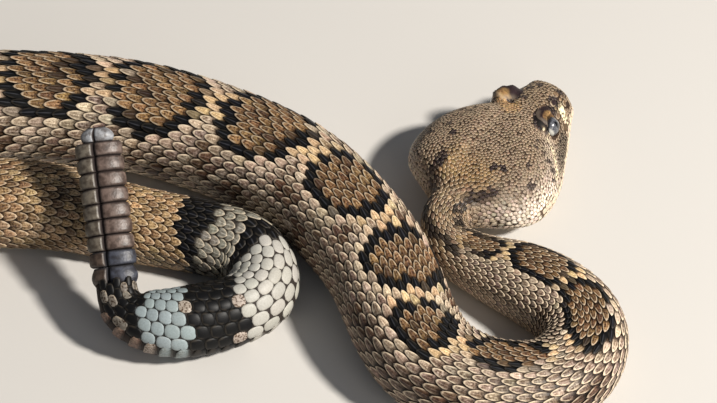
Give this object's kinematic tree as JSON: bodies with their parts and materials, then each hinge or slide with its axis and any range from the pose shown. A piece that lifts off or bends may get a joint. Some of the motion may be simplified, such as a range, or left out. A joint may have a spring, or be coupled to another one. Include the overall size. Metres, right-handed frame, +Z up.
{
  "type": "rattlesnake",
  "caption": "Life-size western diamondback rattlesnake at rest in a loose loop, with a turned neck, broad head and raised rattle.",
  "frame": {"origin": "centre of the box round the whole animal, on the plane that its belly rests on", "axes": "+Z up from the belly; +X along the longest extent, towards the end where the head and neck lie; the head looks to +X and +Y"},
  "size_m": [0.4858, 0.2238, 0.0488],
  "materials": {
    "scaled_skin": "dry keeled scales, matte with a faint sheen, brown diamonds edged in black and cream",
    "banded_skin": "dry scales in black and ash-white bands",
    "eye": "wet and glossy, grey-brown iris with an upright slit pupil",
    "rattle_horn": "satin horn, mauve-brown with dark seams",
    "rattle_base_horn": "satin horn, slate blue-black"
  },
  "bodies": {
    "root": {"head": "scaled_skin", "lower_jaw": "scaled_skin", "eye_left": "eye", "eye_right": "eye", "neck": "scaled_skin", "body_01": "scaled_skin", "body_02": "scaled_skin", "body_03": "scaled_skin", "body_04": "scaled_skin", "body_05": "scaled_skin", "body_06": "scaled_skin", "body_07": "scaled_skin", "body_08": "scaled_skin", "body_09": "scaled_skin", "body_10": "scaled_skin", "body_11": "scaled_skin", "body_12": "scaled_skin", "tail_1": "banded_skin", "tail_2": "banded_skin", "tail_3": "banded_skin", "rattle_base": "rattle_base_horn", "rattle_01": "rattle_horn", "rattle_02": "rattle_horn", "rattle_03": "rattle_horn", "rattle_04": "rattle_horn", "rattle_05": "rattle_horn", "rattle_06": "rattle_horn", "rattle_07": "rattle_horn", "rattle_08": "rattle_horn", "rattle_tip": "rattle_horn"}
  },
  "joints": []
}
